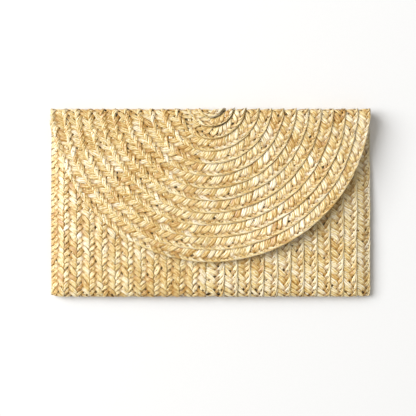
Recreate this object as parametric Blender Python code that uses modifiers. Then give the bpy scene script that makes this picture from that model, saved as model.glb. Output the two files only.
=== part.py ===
"""Straw clutch purse: a braided envelope with a half-round flap, lying on its back with the flap shut.

The body is 24 straw braids side by side. Each runs down the back, round the bottom edge and up the
front to the mouth. The flap is half of a disc of concentric braid rings, whose centre lies on the
folded top edge. The fold is a strip of its own between two creases, which are the purse's hinges.

X runs across the purse, +Y from the bottom edge to the fold and +Z out of the front. The origin is the
middle of the underside, on the surface that the purse lies on. Everything is in metres.
"""

import math

import bmesh
import bpy
from mathutils import Vector

# Driving dimensions
WIDTH = 0.305
HEIGHT = 0.180
BRAID = 0.0022  # thickness of a braid
LINING = 0.0004  # thickness of the cotton lining
CAVITY = 0.0070  # free height between the linings, in the middle of the purse
SNAP_SPACE = 0.0035  # between the front braids and the flap's lining, where the snap sits
GAP = 0.0003  # between pieces that touch

# Body braids: narrow ones on the left, one wide one, then slightly wider ones on the right
LEFT_BRAIDS = 12
RIGHT_BRAIDS = 11
WIDE_BRAID_LEFT = -0.0046
WIDE_BRAID_RIGHT = 0.0129
BRAID_SPLIT = 0.0003  # between neighbouring body braids
BACK_TOP = 0.070  # where the body braids end on the back
MOUTH_Y = 0.080  # where they end on the front

# Shape of the pouch in section
SEAM_HEIGHT = 0.0036  # between the middles of the front and back braids at the side seams
CROWN_POWER = 4.0
SIDE_LIFT = 0.0021  # how far the side seams rise off the surface below
LIFT_POWER = 8.0
LIFT_TOP = 0.060
LIFT_RUN = 0.050
BEND_LENGTH = 0.022  # how far up from the bottom edge the bend reaches
BACK_BEND_POWER = 5.0
FRONT_BEND_POWER = 2.4
BACK_ROWS = 3
BEND_ROWS = 10
FRONT_ROWS = 3
POUCH_ROWS = BACK_ROWS + BEND_ROWS + FRONT_ROWS

# Linings, tapes and binding
LINING_EASE = 0.0004  # between the back braids and the lining
WASHER_SPACE = 0.0011  # between the front or flap braids and their lining
LINING_HALF = 0.146
LINING_TOP = 0.0845
FLAP_LINING_INSET = 0.004
FLAP_LINING_SHORT = 0.05  # radians by which its outline stops short of the tip, so that it ends in an edge
FLAP_LINING_COLUMNS = 8
FLAP_LINING_ROWS = 12
TAPE = 0.0008
TAPE_INNER = 0.1475
TAPE_OUTER = 0.1515
TAPE_BOTTOM = -0.064
BINDING = 0.0010

# Flap
RINGS = 13
FLAP_RADIUS = 0.152
RING_SPLIT = 0.0005
RING_ROWS = 26
SIDE_DROOP = 0.005  # how far the flap's sides come down towards the side seams
DROOP_RUN = 0.060
DROOP_POWER = 4
TIP_DROOP = 0.0018  # how far the flap's tip comes down below the snap
TIP_DROOP_START = -0.042
TIP_DROOP_RUN = 0.013

# Fold
FOLD_RADIUS = 0.005  # of the braid's middle at each crease
CREASE_SHARE = 0.785  # of that radius from the crease's centre to its axis along the flap, a quarter of pi
FOLD_AXIS_IN = 0.0015  # from the fold strip's middle in to the lower crease's axis
FOLD_AXIS_UP = 0.0022  # from the back braids' middle up to it
CREASE_MARGIN = 0.0005
CREASE_CLEAR = BRAID / 2 + CREASE_MARGIN  # from a crease's axis to the ends of the pieces
FOLD_ROWS = 6

# Magnetic snap
SNAP_Y = -0.032
SNAP_STEPS = 20
CUP_RADIUS = 0.0082
CUP_WALL = 0.0006
CUP_BASE = 0.0004
CUP_LIP = 0.0003
CUP_HEIGHT = 0.0021
CUP_MOUTH = 0.0030
MAGNET_INNER = 0.0033
MAGNET_OUTER = 0.0072
STEM_RADIUS = 0.0013
STEM_HOLE = 0.0017
WASHER_RADIUS = 0.0070
WASHER = 0.0005
PLATE_RADIUS = 0.0080
PLATE = 0.0005
STUD_RADIUS = 0.0024
STUD_LENGTH = 0.0016

# Heights that follow from them
HALF = WIDTH / 2
BACK_Z = BRAID / 2
FRONT_Z = BRAID + LINING_EASE + LINING + CAVITY + LINING + WASHER_SPACE + BRAID / 2
FLAP_Z = FRONT_Z + BRAID / 2 + SNAP_SPACE + LINING + WASHER_SPACE + BRAID / 2
CROWN = FRONT_Z - BACK_Z - SEAM_HEIGHT
BEND_Y = -HEIGHT / 2 + BRAID / 2 + BEND_LENGTH
FOLD_Y = HEIGHT / 2 - BRAID / 2
FOLD_MIDDLE = (BACK_Z + FLAP_Z) / 2

# The creases lie just outside the middle of each rounded corner, where a bent sheet turns.
# The lower one is a little higher, so that the open flap clears the surface below.
CREASE_ALONG = CREASE_SHARE * FOLD_RADIUS
CREASE_OUT = (1 - CREASE_SHARE) * FOLD_RADIUS
FLAP_AXIS = Vector((0, FOLD_Y - CREASE_OUT, FLAP_Z - FOLD_RADIUS + CREASE_ALONG))
FOLD_AXIS = Vector((0, FOLD_Y - FOLD_AXIS_IN, BACK_Z + FOLD_AXIS_UP))
FLAP_START = FLAP_AXIS.y - CREASE_CLEAR
FLAP_CENTRE = FOLD_Y - FOLD_RADIUS + FOLD_RADIUS * math.pi / 2 + FLAP_Z - FOLD_RADIUS - FOLD_MIDDLE
RING_PITCH = FLAP_RADIUS / RINGS

STRAW_BODY = ("straw_body", (0.76, 0.58, 0.30, 1), 0.48, 0.0)
STRAW_FLAP = ("straw_flap", (0.80, 0.63, 0.34, 1), 0.46, 0.0)
COTTON = ("cotton_lining", (0.78, 0.72, 0.60, 1), 0.90, 0.0)
TWILL = ("twill_tape", (0.70, 0.62, 0.46, 1), 0.88, 0.0)
BRASS = ("snap_brass", (0.78, 0.62, 0.34, 1), 0.28, 1.0)
MAGNET = ("snap_magnet", (0.22, 0.22, 0.23, 1), 0.45, 0.8)


def clear_scene():
    for item in list(bpy.data.objects):
        bpy.data.objects.remove(item, do_unlink=True)


def new_collection(name):
    collection = bpy.data.collections.new(name)
    bpy.context.scene.collection.children.link(collection)
    return collection


def material(recipe):
    name, colour, roughness, metallic = recipe
    made = bpy.data.materials.get(name)
    if made is None:
        made = bpy.data.materials.new(name)
        made.use_nodes = True
        shader = made.node_tree.nodes["Principled BSDF"]
        shader.inputs["Base Color"].default_value = colour
        shader.inputs["Roughness"].default_value = roughness
        shader.inputs["Metallic"].default_value = metallic
        made.diffuse_color = colour
    return made


def add_axis(name, collection, location=(0, 0, 0), parent=None):
    """An empty that a rigid body's pieces hang from, on that body's hinge axis."""
    axis = bpy.data.objects.new(name, None)
    axis.empty_display_size = 0.02
    collection.objects.link(axis)
    axis.location = Vector(location)
    if parent is not None:
        axis.parent = parent
        axis.location = Vector(location) - parent.matrix_world.translation
    bpy.context.view_layer.update()
    return axis


def add_piece(name, mesh, recipe, body, collection, smooth=False):
    """Link a mesh made in purse coordinates as a named piece whose origin is its body's axis."""
    origin = body.matrix_world.translation
    for vertex in mesh.vertices:
        vertex.co -= origin
    mesh.materials.append(material(recipe))
    if smooth:
        mesh.shade_smooth()
        mesh.set_sharp_from_angle(angle=math.radians(35))
    piece = bpy.data.objects.new(name, mesh)
    collection.objects.link(piece)
    piece.parent = body
    return piece


def slab_mesh(name, columns, rows, place):
    """A subdivided slab, its corners (u, v, w) from 0 to 1 moved to place(u, v, w)."""
    mesh = bpy.data.meshes.new(name)
    slab = bmesh.new()
    bmesh.ops.create_grid(slab, x_segments=columns, y_segments=rows, size=0.5)
    top = bmesh.ops.extrude_face_region(slab, geom=slab.faces[:])
    for item in top["geom"]:
        if isinstance(item, bmesh.types.BMVert):
            item.co.z = 1.0
    bmesh.ops.recalc_face_normals(slab, faces=slab.faces)
    for vertex in slab.verts:
        u = vertex.co.x + 0.5
        v = vertex.co.y + 0.5
        vertex.co = place(u, v, vertex.co.z)
    if slab.calc_volume(signed=True) < 0:
        bmesh.ops.reverse_faces(slab, faces=slab.faces)
    slab.to_mesh(mesh)
    slab.free()
    return mesh


def blend(low, high, share):
    return low + (high - low) * share


def clamp(value):
    return min(1.0, max(0.0, value))


def braid_edges():
    """The lines between body braids, from the left side seam to the right one."""
    left = [blend(-HALF, WIDE_BRAID_LEFT, k / LEFT_BRAIDS) for k in range(LEFT_BRAIDS + 1)]
    right = [blend(WIDE_BRAID_RIGHT, HALF, k / RIGHT_BRAIDS) for k in range(RIGHT_BRAIDS + 1)]
    return left + right


EDGES = braid_edges()


def across(x, profile):
    """The profile's value at x, running straight across each braid, because braids are flat."""
    for low, high in zip(EDGES, EDGES[1:], strict=False):
        if x <= high:
            break
    return blend(profile(low), profile(high), clamp((x - low) / (high - low)))


def crown_profile(x):
    return CROWN * math.sqrt(max(0.0, 1 - abs(x / HALF) ** CROWN_POWER))


def lift_profile(x):
    return SIDE_LIFT * abs(x / HALF) ** LIFT_POWER


def back_height(x, y):
    """Height of the middle of the back braids: flat, and lifted at the sides below the fold."""
    return BACK_Z + across(x, lift_profile) * clamp((LIFT_TOP - y) / LIFT_RUN)


def front_height(x, y):
    """Height of the middle of the front braids, which crown over the cavity."""
    return back_height(x, y) + SEAM_HEIGHT + across(x, crown_profile)


def pouch_point(x, v, back_in, front_in, tops):
    """A point of a layer that runs down the back, round the bottom and up the front.

    v goes from 0 at the back's top to 1 at the mouth. The layer lies back_in above the middle of the
    back braids and front_in below the middle of the front ones. tops gives its two ends' Y.
    """
    row = v * POUCH_ROWS
    if row <= BACK_ROWS:
        stations = (tops[0], LIFT_TOP, LIFT_TOP - LIFT_RUN, BEND_Y)
        y = stations[round(row)]
        return Vector((x, y, back_height(x, y) + back_in))
    if row >= BACK_ROWS + BEND_ROWS:
        stations = (BEND_Y, LIFT_TOP - LIFT_RUN, LIFT_TOP, tops[1])
        y = stations[round(row) - BACK_ROWS - BEND_ROWS]
        return Vector((x, y, front_height(x, y) - front_in))
    low = back_height(x, BEND_Y) + back_in
    high = front_height(x, BEND_Y) - front_in
    turn = math.pi * ((row - BACK_ROWS) / BEND_ROWS - 0.5)
    power = 2 / (BACK_BEND_POWER if turn < 0 else FRONT_BEND_POWER)
    reach = (BEND_LENGTH - back_in) * math.cos(turn) ** power
    rise = math.copysign(abs(math.sin(turn)) ** power, turn) * (high - low) / 2
    return Vector((x, BEND_Y - reach, (low + high) / 2 + rise))


def flap_height(x, y):
    """Height of the middle of the flap's braids: flat at the fold, drooping to the sides and tip."""
    side = SIDE_DROOP * abs(x / HALF) ** DROOP_POWER * clamp((FLAP_START - y) / DROOP_RUN)
    tip = TIP_DROOP * clamp((TIP_DROOP_START - y) / TIP_DROOP_RUN)
    return FLAP_Z - side - tip


def flap_point(radius, share, height):
    """A point at a radius of the flap's disc, share of the way round the part beyond the crease."""
    start = math.asin((FLAP_CENTRE - FLAP_START) / radius)
    angle = blend(start, math.pi - start, share)
    x = -radius * math.cos(angle)
    y = FLAP_CENTRE - radius * math.sin(angle)
    return Vector((x, y, flap_height(x, y) + height))


def add_body_braids(body, collection):
    """The 24 braids of the pouch, each one flat across its own width."""
    braids = []
    tops = (BACK_TOP, MOUTH_Y)
    for index, (left, right) in enumerate(zip(EDGES, EDGES[1:], strict=False), start=1):
        low = left + (BRAID_SPLIT / 2 if index > 1 else 0)
        high = right - (BRAID_SPLIT / 2 if index < len(EDGES) - 1 else 0)

        def place(u, v, w, low=low, high=high):
            inward = blend(-BRAID / 2, BRAID / 2, w)
            return pouch_point(blend(low, high, u), v, inward, inward, tops)

        name = f"body_braid_{index:02d}"
        mesh = slab_mesh(name, 1, POUCH_ROWS, place)
        braids.append(add_piece(name, mesh, STRAW_BODY, body, collection))
    return braids


def add_flap_rings(body, collection):
    """The half rings of the flap. The innermost ring of the disc is the coil on the fold."""
    for ring in range(2, RINGS + 1):
        inner = (ring - 1) * RING_PITCH + (RING_SPLIT / 2 if ring > 2 else 0)
        outer = ring * RING_PITCH - (RING_SPLIT / 2 if ring < RINGS else 0)

        def place(u, v, w, inner=inner, outer=outer):
            return flap_point(blend(inner, outer, u), v, blend(-BRAID / 2, BRAID / 2, w))

        name = f"flap_ring_{ring:02d}"
        mesh = slab_mesh(name, 1, RING_ROWS, place)
        add_piece(name, mesh, STRAW_FLAP, body, collection)


def add_fold(body, collection):
    """The strip over the top edge: the ring braids' crossings on both sides of the centre coil."""
    low = FOLD_AXIS.z + CREASE_CLEAR
    high = FLAP_AXIS.z - CREASE_CLEAR

    def coil_half(z, radius):
        return math.sqrt(radius**2 - (z - FOLD_MIDDLE) ** 2)

    def coil(u, v, w):
        z = blend(low, high, v)
        half = coil_half(z, RING_PITCH - RING_SPLIT / 2)
        return Vector((blend(-half, half, u), FOLD_Y + BRAID * (w - 0.5), z))

    def band(side, u, v, w):
        z = blend(low, high, v)
        inner = coil_half(z, RING_PITCH + RING_SPLIT / 2)
        return Vector((side * blend(inner, HALF, u), FOLD_Y + BRAID * (w - 0.5), z))

    mesh = slab_mesh("fold_centre_coil", 1, FOLD_ROWS, coil)
    add_piece("fold_centre_coil", mesh, STRAW_FLAP, body, collection)
    for name, side in (("fold_band_left", -1), ("fold_band_right", 1)):
        mesh = slab_mesh(name, 1, FOLD_ROWS, lambda u, v, w, side=side: band(side, u, v, w))
        add_piece(name, mesh, STRAW_FLAP, body, collection)

    def lining(u, v, w):
        depth = FOLD_Y - BRAID / 2 - LINING_EASE - LINING * w
        z = blend(low + LINING_EASE, high - LINING_EASE, v)
        return Vector((blend(-LINING_HALF, LINING_HALF, u), depth, z))

    mesh = slab_mesh("lining_fold", 1, 1, lining)
    add_piece("lining_fold", mesh, COTTON, body, collection)


def add_back_yoke(body, collection):
    """The ends of the ring braids on the back, between the body braids' ends and the lower crease."""
    low = BACK_TOP + GAP
    high = FOLD_AXIS.y - CREASE_CLEAR

    def place(u, v, w):
        return Vector((blend(-HALF, HALF, u), blend(low, high, v), BRAID * w))

    mesh = slab_mesh("back_yoke", 1, 1, place)
    add_piece("back_yoke", mesh, STRAW_FLAP, body, collection)


def add_pouch_lining(body, collection):
    """The lining bag, with a fold line under every line between braids."""
    stations = [-LINING_HALF, *EDGES[1:-1], LINING_HALF]

    def place(u, v, w):
        x = stations[round(u * (len(stations) - 1))]
        back_in = BRAID / 2 + LINING_EASE + LINING * w
        front_in = BRAID / 2 + WASHER_SPACE + LINING * w
        return pouch_point(x, v, back_in, front_in, (LINING_TOP, MOUTH_Y))

    mesh = slab_mesh("lining_pouch", len(stations) - 1, POUCH_ROWS, place)
    add_piece("lining_pouch", mesh, COTTON, body, collection)


def add_mouth_binding(body, collection):
    """The tape over the front's free edge, which closes the braids' and the lining's ends."""
    depth = BRAID + WASHER_SPACE + LINING

    def place(u, v, w):
        x = EDGES[round(u * (len(EDGES) - 1))]
        x = max(-LINING_HALF, min(LINING_HALF, x))
        z = front_height(x, MOUTH_Y) + BRAID / 2 - depth * (1 - w)
        return Vector((x, MOUTH_Y + GAP + BINDING * v, z))

    mesh = slab_mesh("mouth_binding", len(EDGES) - 1, 1, place)
    add_piece("mouth_binding", mesh, TWILL, body, collection)


def add_side_tapes(body, collection):
    """The tapes that the side seams are sewn through, between the front and back braids."""
    stations = (TAPE_BOTTOM, LIFT_TOP - LIFT_RUN, LIFT_TOP, MOUTH_Y)
    for name, side in (("side_tape_left", -1), ("side_tape_right", 1)):

        def place(u, v, w, side=side):
            x = side * blend(TAPE_INNER, TAPE_OUTER, u)
            y = stations[round(v * (len(stations) - 1))]
            return Vector((x, y, back_height(x, y) + BRAID / 2 + GAP + TAPE * w))

        mesh = slab_mesh(name, 1, len(stations) - 1, place)
        add_piece(name, mesh, TWILL, body, collection)


def add_flap_lining(body, collection):
    """The cotton facing under the flap's rings."""
    radius = FLAP_RADIUS - FLAP_LINING_INSET
    top = FLAP_START - LINING_EASE
    start = math.asin((FLAP_CENTRE - top) / radius)
    end = math.pi / 2 - FLAP_LINING_SHORT

    def place(u, v, w):
        angle = blend(start, end, v)
        x = radius * math.cos(angle) * (2 * u - 1)
        y = FLAP_CENTRE - radius * math.sin(angle)
        under = BRAID / 2 + WASHER_SPACE + LINING * (1 - w)
        return Vector((x, y, flap_height(x, y) - under))

    mesh = slab_mesh("lining_flap", FLAP_LINING_COLUMNS, FLAP_LINING_ROWS, place)
    return add_piece("lining_flap", mesh, COTTON, body, collection)


def add_turned(name, profile, recipe, body, collection, closed=False):
    """A piece turned about the snap's axis, from (radius, height) points down its outer side."""
    outline = bpy.data.meshes.new(name + "_outline")
    links = [(k, k + 1) for k in range(len(profile) - 1)]
    if closed:
        links.append((len(profile) - 1, 0))
    outline.from_pydata([(radius, 0, height) for radius, height in profile], links, [])
    turned = bpy.data.objects.new(name, outline)
    collection.objects.link(turned)
    screw = turned.modifiers.new("turn", "SCREW")
    screw.axis = "Z"
    screw.steps = SNAP_STEPS
    screw.render_steps = SNAP_STEPS
    screw.use_merge_vertices = True
    screw.merge_threshold = 0.00001
    shape = turned.evaluated_get(bpy.context.evaluated_depsgraph_get())
    mesh = bpy.data.meshes.new_from_object(shape)
    bpy.data.objects.remove(turned)
    mesh.name = name
    for vertex in mesh.vertices:
        vertex.co.y += SNAP_Y
    return add_piece(name, mesh, recipe, body, collection, smooth=True)


def washer_profile(bottom):
    return (
        (WASHER_RADIUS, bottom + WASHER),
        (WASHER_RADIUS, bottom),
        (STEM_HOLE, bottom),
        (STEM_HOLE, bottom + WASHER),
    )


def add_lower_snap(body, collection):
    """The cup on the front panel, its magnet, and the washer that its stem is set in."""
    seat = FRONT_Z + BRAID / 2 + GAP
    floor = seat + CUP_BASE
    top = seat + CUP_HEIGHT
    washer = FRONT_Z - BRAID / 2 - GAP - WASHER
    inside = CUP_RADIUS - CUP_WALL
    cup = (
        (0, floor),
        (inside, floor),
        (inside, top - CUP_LIP),
        (CUP_MOUTH, top - CUP_LIP),
        (CUP_MOUTH, top),
        (CUP_RADIUS, top),
        (CUP_RADIUS, seat),
        (STEM_RADIUS, seat),
        (STEM_RADIUS, washer),
        (0, washer),
    )
    magnet = (
        (MAGNET_OUTER, top - CUP_LIP - GAP),
        (MAGNET_OUTER, floor + GAP),
        (MAGNET_INNER, floor + GAP),
        (MAGNET_INNER, top - CUP_LIP - GAP),
    )
    add_turned("snap_cup", cup, BRASS, body, collection)
    add_turned("snap_magnet", magnet, MAGNET, body, collection, closed=True)
    add_turned("snap_cup_washer", washer_profile(washer), BRASS, body, collection, closed=True)


def add_upper_snap(body, collection):
    """The stud plate under the flap's lining, and the washer behind that lining."""
    underside = FRONT_Z + BRAID / 2 + SNAP_SPACE
    top = underside - GAP
    bottom = top - PLATE
    washer = underside + LINING + GAP
    plate = (
        (0, washer + WASHER),
        (STEM_RADIUS, washer + WASHER),
        (STEM_RADIUS, top),
        (PLATE_RADIUS, top),
        (PLATE_RADIUS, bottom),
        (STUD_RADIUS, bottom),
        (STUD_RADIUS, bottom - STUD_LENGTH),
        (0, bottom - STUD_LENGTH),
    )
    add_turned("snap_stud_plate", plate, BRASS, body, collection)
    add_turned("snap_stud_washer", washer_profile(washer), BRASS, body, collection, closed=True)


def cut_stem_hole(piece, height, cutters):
    """A hole through one layer for a snap's stem."""
    mesh = bpy.data.meshes.new(piece.name + "_hole")
    drill = bmesh.new()
    bmesh.ops.create_cone(
        drill,
        cap_ends=True,
        segments=SNAP_STEPS,
        radius1=STEM_HOLE,
        radius2=STEM_HOLE,
        depth=2 * BRAID,
    )
    drill.to_mesh(mesh)
    drill.free()
    cutter = bpy.data.objects.new(mesh.name, mesh)
    cutters.objects.link(cutter)
    cutter.location = (0, SNAP_Y, height)
    cutter.hide_render = True
    cutter.display_type = "WIRE"
    cut = piece.modifiers.new("stem_hole", "BOOLEAN")
    cut.operation = "DIFFERENCE"
    cut.object = cutter


def main():
    clear_scene()
    purse = new_collection("clutch_purse")
    cutters = new_collection("cutters")
    pouch = add_axis("pouch_frame", purse)
    fold = add_axis("fold_axis", purse, FOLD_AXIS, pouch)
    flap = add_axis("flap_axis", purse, FLAP_AXIS, fold)

    braids = add_body_braids(pouch, purse)
    add_back_yoke(pouch, purse)
    add_pouch_lining(pouch, purse)
    add_mouth_binding(pouch, purse)
    add_side_tapes(pouch, purse)
    add_fold(fold, purse)
    add_flap_rings(flap, purse)
    flap_lining = add_flap_lining(flap, purse)
    add_lower_snap(pouch, purse)
    add_upper_snap(flap, purse)
    cut_stem_hole(braids[LEFT_BRAIDS], FRONT_Z, cutters)
    cut_stem_hole(flap_lining, FRONT_Z + BRAID / 2 + SNAP_SPACE + LINING / 2, cutters)


main()
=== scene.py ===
"""Looks of the straw clutch purse.

A plait is five flattened straws, each passing over two and under two. The plaits overlap like
shingles and thread stitches hold them. Plaits, lining and tapes are laid along the purse's section,
which follows the CAD model: down the back, round the bottom and up the front, or over the fold.
"""

import math

import bpy
import numpy as np
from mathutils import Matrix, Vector


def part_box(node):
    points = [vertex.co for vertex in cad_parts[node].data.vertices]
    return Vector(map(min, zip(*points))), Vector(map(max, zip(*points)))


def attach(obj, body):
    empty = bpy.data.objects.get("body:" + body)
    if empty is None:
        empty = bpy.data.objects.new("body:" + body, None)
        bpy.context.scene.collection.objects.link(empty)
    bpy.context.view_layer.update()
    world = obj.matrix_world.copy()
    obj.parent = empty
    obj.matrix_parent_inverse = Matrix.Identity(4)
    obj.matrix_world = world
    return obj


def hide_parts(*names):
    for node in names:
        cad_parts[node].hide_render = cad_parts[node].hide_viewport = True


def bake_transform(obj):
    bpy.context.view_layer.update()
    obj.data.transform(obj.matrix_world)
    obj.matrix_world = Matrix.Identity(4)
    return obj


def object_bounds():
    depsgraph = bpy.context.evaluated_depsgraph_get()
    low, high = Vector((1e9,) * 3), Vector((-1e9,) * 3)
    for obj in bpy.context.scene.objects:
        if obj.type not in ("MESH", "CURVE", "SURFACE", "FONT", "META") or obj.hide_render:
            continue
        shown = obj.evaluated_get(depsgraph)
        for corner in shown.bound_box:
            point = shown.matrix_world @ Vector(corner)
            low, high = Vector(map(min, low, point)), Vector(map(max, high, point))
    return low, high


MM = 0.001

# Plait
STRANDS = 5
PITCH = 6.2 * MM  # along the plait, from one cell to the next
PERIOD = STRANDS * PITCH
STEP = 0.95 * MM  # between the stations at which the straws' sections are placed
SECTION_POINTS = 16
FLOATS = 400  # more than one straw passes over and under in the longest plait

# Straw
STRAW_WIDTH = 4.35 * MM
STRAW_HALF = 0.50 * MM  # half a straw's thickness
STRAW_CREASE = 0.26  # depth of the creases along a straw, as a share of that
STRAW_FLATNESS = 0.72  # power of its section, 1 for an ellipse
LEVEL = 0.46 * MM  # height of a straw's middle where it passes over the others
SQUARENESS = 2  # of its rise and fall, near 0 for a plain wave
FOLD_SHARPNESS = 0.992  # of the straws' turns at the plait's edges, 1 for a crease
FULL_WIDTH, FULL_THICKNESS = 1.03, 1.04  # shares, away from the crossings
SCALLOP_REACH = (0.3, 0.9)  # across the plait, 1 at its free edge, between which scallops start
CROSSING = 0.33  # how far a straw is narrowed to either side of the crossing at the plait's middle
NARROWED, THINNED = 0.36, 0.30  # shares by which it is narrower and thinner there
LOOSE_GAP, LOOSE_NARROWING, LOOSE_RISE = 0.10, 0.26, 0.25  # shares, where the straws stand apart
SELVAGE = 2.9 * MM  # width of the band along a smooth edge in which the straws run along it
RIM_RISE = 0.25 * MM  # of that band

# Unevenness, with the wavelengths of what changes along a plait
DRIFT, DRIFT_WAVES = 1.3 * MM, (15 * MM, 27 * MM, 61 * MM, 113 * MM)  # of the cells along the plait
STRAY, STRAY_WAVES = 0.6 * MM, (19 * MM, 33 * MM, 71 * MM)  # of the line of crossings at its middle
JOG, JOG_WAVES = 0.55 * MM, (23 * MM, 37 * MM, 59 * MM)  # of one straw along the plait
PATCH_TONE, PATCH_WAVES = 0.12, (31 * MM, 53 * MM, 88 * MM)  # of the tone of all its straws
BODY_SWAY, BODY_SWAY_WAVES = 0.25 * MM, (47 * MM, 83 * MM, 140 * MM)  # of a whole plait
RING_SWAY, RING_SWAY_WAVES = 0.3 * MM, (59 * MM, 101 * MM, 163 * MM)
PHASE_SPREAD = 0.010  # of a straw's place among the others, in periods
WIDTH_SPREAD, THICKNESS_SPREAD = 0.09, 0.14
ROLL_SPREAD = 0.17
LIFT_SPREAD = 0.13 * MM
EDGE_SPREAD = 0.35 * MM  # of the straws' turns at the plait's edges
TONE_MIDDLE, TONE_SPREAD, TONE_NOISE = 0.5, 0.09, 0.13
TONE_KEPT, TONE_ADDED = 0.55, 0.83  # from one stretch of a straw to the next
WHITE_SHARE, WHITE_TONE = 0.08, 0.28  # of the straws' stretches, and how much lighter those are

# SCALLOPED is the plait of the body's left, SMOOTH of its right, RINGWISE of the flap's right and ROUGH
# of the flap's left. point is the way in which the chevrons point, and holes is the line of stitches.
# tone is added to the straws' tones, and middle shifts the crossings towards the free edge. run and band
# draw the straws along that edge, scallop makes it wavy, gap opens it, and relief scales the heights.
# The higher tones of SMOOTH and RINGWISE, on the purse's right, are painted light: they lighten the
# straws that the lamp on the left leaves darker.
SCALLOPED = dict(
    point=1, holes=-2.9 * MM, tone=0.01, middle=0.4 * MM, run=0.0, band=0.0, scallop=0.45, gap=0.26,
    relief=0.8,
)
# Painted light: SMOOTH's higher tone lightens the body's right, which the lamp on the left leaves darker.
SMOOTH = dict(
    point=-1, holes=4.4 * MM, tone=0.18, middle=2.6 * MM, run=4.6 * MM, band=1.0, scallop=0.0, gap=0.0,
    relief=0.6,
)
# Painted light: RINGWISE's higher tone lightens the flap's right in the same way.
RINGWISE = dict(
    SMOOTH, point=1, holes=4.2 * MM, tone=0.12, middle=3.1 * MM, run=6.5 * MM, relief=0.82
)
ROUGH = dict(SCALLOPED, middle=1.7 * MM, gap=0.14)
ROUGH_FROM, ROUGH_TO = 84, 118  # degrees round the flap, between which a ring changes into it
ROUGH_FLATNESS = 0.45  # share of a ring's tilt and dip that is missing there

# How the plaits lie on each other
TUCK = 2.3 * MM  # how far a plait's covered edge reaches under its neighbour
OVERHANG = 0.1 * MM
FRONT_TILT = 0.64 * MM  # how far the free edge stands out, and the covered one lies in
RING_TILT = 0.80 * MM
LEFT_TILT = 0.38 * MM
BACK_TILT = 0.12 * MM
FRONT_DIP = 0.45 * MM  # how much further in the covered edge lies
LEFT_DIP = 0.26 * MM
BACK_DIP = 0.45 * MM
COVER_FROM, COVER_TO = 1.6 * TUCK, 0.4 * TUCK  # from the covered edge, between which a plait dips
PRESSED = 0.85  # share by which the plaits are flattened under the snap and in the mouth's binding
BACK_RELIEF = 0.86  # share of the plaits' relief that the purse's own weight leaves on its back
COILED = 3  # rings round the centre, which lie most steeply on each other
COILED_TILT = 1.5  # times as steeply
COIL_START = 0.3 * MM  # inner radius of the first ring, the coil
COIL_LOOSENESS = 0.8  # how far the coiled rings' straws stand apart
COIL_EXCESS = 3.3 * MM  # by which the coil covers more of the next ring
COIL_GAP = 2.5 * MM  # how far the next two rings' covered edges draw back on the right
COIL_GAP_RUN = 5 * MM  # from the covered edge
COIL_GAP_FROM, COIL_GAP_TO = 70, 105  # degrees round the flap, between which the gaps close

# Purse, as in the CAD model
BRAID = 2.2 * MM
SEAM_HEIGHT = 3.6 * MM
CROWN_POWER = 4.0
SIDE_LIFT = 2.1 * MM
LIFT_POWER = 8.0
LIFT_TOP = 60 * MM
LIFT_RUN = 50 * MM
BEND_LENGTH = 22 * MM
BACK_BEND_POWER = 3.2
FRONT_BEND_POWER = 2.4
FOLD_RADIUS = 5 * MM
SIDE_DROOP = 5 * MM
DROOP_RUN = 60 * MM
TIP_DROOP = 1.8 * MM
TIP_DROOP_START = -42 * MM
TIP_DROOP_RUN = 13 * MM
LINING = 0.4 * MM
FACING_SEAM = 78 * MM  # where on the back the fold's facing overlaps the lining bag
BINDING_LEG = 6.5 * MM
EASE = 0.14 * MM  # of the snap's edges
LATHE_STEPS = 56
CORNER_FLARE, FLARE_FROM, FLARE_TO = 1.4 * MM, 15 * MM, 3 * MM  # of the front's top left corner
FIRST_MARGIN, LAST_MARGIN = 0.5 * MM, 0.7 * MM  # of the outermost plaits, beyond the body's sides
FRONT_STARTS, BEND_OPENS = 1.6, 1.62  # places on the section, as section_point numbers them
FRONT_RUN = 12 * MM
MOUTH_FROM, MOUTH_TO = 11 * MM, 5 * MM  # from the mouth, between which its binding presses the plaits
PINCH, FRONT_PINCH = 1.0 * MM, 0.5 * MM  # of the side seams, and how much more on the front
PINCH_FROM, PINCH_TO = 6 * MM, 1 * MM  # from the sides
SUNK, SUNK_RUN = 1.0 * MM, 6 * MM  # of the body's plaits under the ends of the rings
RING_FRONT = (-10 * MM, 4 * MM)  # along a ring from the fold's middle, between which its front begins
RIM_LIFT = 4.6 * MM  # of the flap's edge, right of its tip
RIM_WINDOW = (5, 32, 52, 86)  # degrees round the flap at which it starts, is full, fades and ends
RIM_FROM = 0.62  # share of the flap's radius at which it starts
SNAP_PRESS = (9 * MM, 18 * MM)  # distances from the snap between which the plaits are pressed flat
RINGS = 13
BODY_BRAIDS = 24
LEFT_BRAIDS = 12
BODY_SEED, RING_SEED = 100, 300  # for the random draws, to which a plait's number is added

# Dark to light, in sRGB from 0 to 255 like all colours but the studio's
STRAW_TONES = ((172, 120, 40), (206, 165, 82), (223, 196, 123), (237, 219, 160), (248, 239, 212))

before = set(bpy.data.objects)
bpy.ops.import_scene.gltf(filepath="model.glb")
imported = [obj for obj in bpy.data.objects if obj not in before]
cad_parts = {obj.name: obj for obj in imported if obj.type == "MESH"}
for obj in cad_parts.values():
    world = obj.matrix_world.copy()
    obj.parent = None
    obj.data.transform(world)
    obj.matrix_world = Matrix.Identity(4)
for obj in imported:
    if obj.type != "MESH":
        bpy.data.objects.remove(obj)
CAD_BOX = [list(corner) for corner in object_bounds()]


def linear(colour):
    """An sRGB colour as Blender's linear one."""
    shares = [c / 255 for c in colour]
    return [c / 12.92 if c <= 0.04045 else ((c + 0.055) / 1.055) ** 2.4 for c in shares] + [1.0]


def smoothstep(value, low, high):
    share = np.clip((value - low) / (high - low), 0, 1)
    return share * share * (3 - 2 * share)


def wander(rng, *wavelengths):
    """A smooth function of the length along a plait, between about -1 and 1."""
    phases = rng.uniform(0, 2 * np.pi, len(wavelengths))

    def value(along):
        waves = [np.sin(2 * np.pi * along / w + p) for w, p in zip(wavelengths, phases)]
        return sum(waves) / len(waves) ** 0.5

    return value


# ---- the purse's section

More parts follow.
